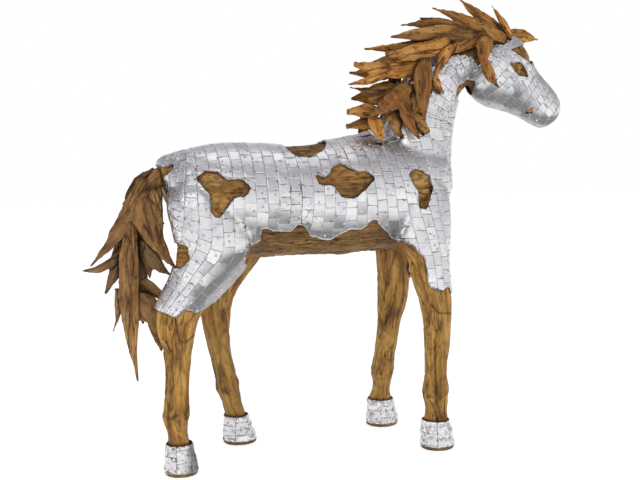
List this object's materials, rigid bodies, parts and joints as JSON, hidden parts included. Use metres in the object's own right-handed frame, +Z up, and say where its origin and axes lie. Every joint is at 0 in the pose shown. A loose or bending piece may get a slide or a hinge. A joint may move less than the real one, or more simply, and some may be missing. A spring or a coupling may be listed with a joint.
{
  "type": "driftwood horse sculpture",
  "caption": "Standing horse with a carved wooden body, branch legs, a driftwood mane and tail, and a coat of thin metal tiles with bare wood patches.",
  "frame": {"origin": "on the floor, under the middle of the whole horse's box", "axes": "+X towards the horse's head, +Y to the horse's left, +Z up from the floor"},
  "size_m": [1.9062, 0.4664, 1.7092],
  "materials": {
    "trunk_wood": "waxed, satin",
    "leg_wood": "waxed, satin",
    "mane_driftwood": "waxed, satin",
    "tail_driftwood": "waxed, dull",
    "metal_tiles": "hammered, polished"
  },
  "bodies": {
    "root": {"ear_left": "mane_driftwood", "ear_right": "mane_driftwood", "hoof_cap_fore_left": "metal_tiles", "hoof_cap_fore_right": "metal_tiles", "hoof_cap_hind_left": "metal_tiles", "hoof_cap_hind_right": "metal_tiles", "leg_fore_left": "leg_wood", "leg_fore_right": "leg_wood", "leg_hind_left": "leg_wood", "leg_hind_right": "leg_wood", "mane_back_blade": "mane_driftwood", "mane_bridge_piece": "mane_driftwood", "mane_cheek_lock": "mane_driftwood", "mane_crown": "mane_driftwood", "mane_dark_splinter": "mane_driftwood", "mane_far_blade_1": "mane_driftwood", "mane_far_blade_2": "mane_driftwood", "mane_far_blade_3": "mane_driftwood", "mane_far_blade_4": "mane_driftwood", "mane_far_crown": "mane_driftwood", "mane_far_drop_1": "mane_driftwood", "mane_far_drop_2": "mane_driftwood", "mane_far_drop_3": "mane_driftwood", "mane_forelock": "mane_driftwood", "mane_fork": "mane_driftwood", "mane_heel": "mane_driftwood", "mane_leaf": "mane_driftwood", "mane_long_drop": "mane_driftwood", "mane_low_knob": "mane_driftwood", "mane_root_block": "mane_driftwood", "mane_rough_branch": "mane_driftwood", "mane_shadow_blade": "mane_driftwood", "mane_short_drop": "mane_driftwood", "mane_smooth_blade": "mane_driftwood", "mane_stub": "mane_driftwood", "mane_swept_blade": "mane_driftwood", "mane_throat_drop": "mane_driftwood", "mane_upper_blade": "mane_driftwood", "tail_broad_fin": "tail_driftwood", "tail_cap": "tail_driftwood", "tail_curl": "tail_driftwood", "tail_dock": "tail_driftwood", "tail_fork": "tail_driftwood", "tail_inner_drop": "tail_driftwood", "tail_inner_side": "tail_driftwood", "tail_leaf": "tail_driftwood", "tail_long_drop": "tail_driftwood", "tail_outer_sweep": "tail_driftwood", "tail_rough_side": "tail_driftwood", "tail_spur": "tail_driftwood", "tail_stub": "tail_driftwood", "tail_under_fin": "tail_driftwood", "tile_coat": "metal_tiles", "trunk": "trunk_wood"}
  },
  "joints": []
}
